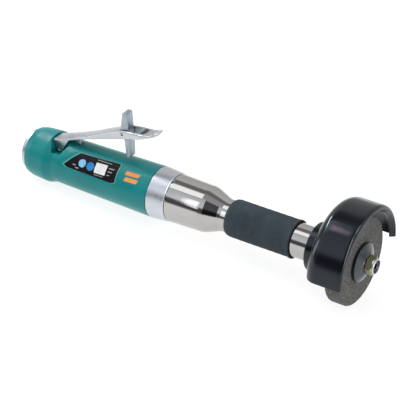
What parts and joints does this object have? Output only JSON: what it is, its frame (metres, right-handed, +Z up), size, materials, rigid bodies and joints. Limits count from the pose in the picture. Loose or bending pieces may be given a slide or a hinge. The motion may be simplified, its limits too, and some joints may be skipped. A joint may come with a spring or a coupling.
{
  "type": "straight air grinder",
  "caption": "Straight pneumatic grinder: lever-throttle handle, long polished steel nose with rubber grip, guarded abrasive wheel and flanges on the spindle.",
  "frame": {"origin": "on the bench under the middle of the tool: the middle of its length and width, at the height of the lowest point of the wheel", "axes": "+X along the spindle from the air inlet to the wheel, +Z up to the throttle lever side, +Y to the left seen from behind"},
  "size_m": [0.3472, 0.0988, 0.1081],
  "materials": {
    "teal_enamel": "semi-gloss teal enamel on cast metal",
    "satin_aluminium": "satin turned aluminium",
    "polished_steel": "polished turned steel",
    "ground_steel": "ground steel, lightly oiled",
    "cast_aluminium": "tumbled cast aluminium, edges worn bright",
    "zinc_lock": "matt grey zinc casting",
    "black_enamel": "gloss black enamel",
    "slate_rubber": "matt moulded rubber",
    "abrasive": "coarse bonded abrasive grain",
    "yellow_zinc": "yellow zinc plate",
    "brass": "turned brass",
    "felt": "pressed felt",
    "phenolic": "cloth-filled phenolic",
    "nitrile": "moulded nitrile",
    "label_black": "printed film label, no lettering"
  },
  "bodies": {
    "tool_body": {"handle_housing": "teal_enamel", "exhaust_cap": "satin_aluminium", "muffler_felt": "felt", "inlet_bushing": "ground_steel", "inlet_seal": "nitrile", "inlet_screen": "brass", "valve_bushing": "brass", "valve_spring": "ground_steel", "lever_pin": "ground_steel", "label_plate": "label_black", "clamp_ring": "satin_aluminium", "motor_cylinder": "ground_steel", "rear_end_plate": "satin_aluminium", "front_end_plate": "satin_aluminium", "rotor_bearing_rear": "ground_steel", "rotor_bearing_front": "ground_steel", "extension_housing": "polished_steel", "spindle_bearing_rear": "ground_steel", "spindle_bearing_middle": "ground_steel", "spindle_bearing_front": "ground_steel", "bearing_cap": "polished_steel", "grip_sleeve": "slate_rubber"},
    "spindle_set": {"rotor": "ground_steel", "rotor_blade_1": "phenolic", "rotor_blade_2": "phenolic", "rotor_blade_3": "phenolic", "rotor_blade_4": "phenolic", "shaft_coupling": "ground_steel", "spindle": "ground_steel", "inner_flange": "ground_steel", "grinding_wheel": "abrasive", "outer_flange": "ground_steel", "wheel_nut": "yellow_zinc"},
    "guard_set": {"guard": "black_enamel", "guard_set_screw": "ground_steel"},
    "lever": {"throttle_lever": "cast_aluminium", "lock_pin": "ground_steel", "lock_spring": "ground_steel"},
    "lock": {"lock_lever": "zinc_lock"},
    "valve": {"valve_stem": "ground_steel"}
  },
  "joints": [
    {"name": "spindle_spin", "type": "hinge", "parent": "tool_body", "child": "spindle_set", "pos_m": [0.1594, 0, 0.0381], "axis": [1, 0, 0], "continuous": true},
    {"name": "guard_turn", "type": "hinge", "parent": "tool_body", "child": "guard_set", "pos_m": [0.1249, 0, 0.0381], "axis": [1, 0, 0], "range_deg": [-90, 90]},
    {"name": "throttle_press", "type": "hinge", "parent": "tool_body", "child": "lever", "pos_m": [-0.1386, 0, 0.0526], "axis": [0, 1, 0], "range_deg": [0, 10], "stiffness_Nm_per_rad": 2, "springref_deg": -5.73},
    {"name": "lock_tilt", "type": "hinge", "parent": "lever", "child": "lock", "pos_m": [-0.0696, 0, 0.0879], "axis": [0, 1, 0], "range_deg": [0, 70], "stiffness_Nm_per_rad": 0.02, "springref_deg": -17.19},
    {"name": "valve_slide", "type": "slide", "parent": "tool_body", "child": "valve", "axis": [0, 0, -1], "range_m": [0, 0.0043], "stiffness_N_per_m": 500, "springref_m": -0.002, "deforming": ["valve_spring"]}
  ],
  "couplings": [
    {"joint": "lock_tilt", "follows": "throttle_press", "ratio": 7},
    {"joint": "valve_slide", "follows": "throttle_press", "m_per_rad": 0.0242}
  ]
}
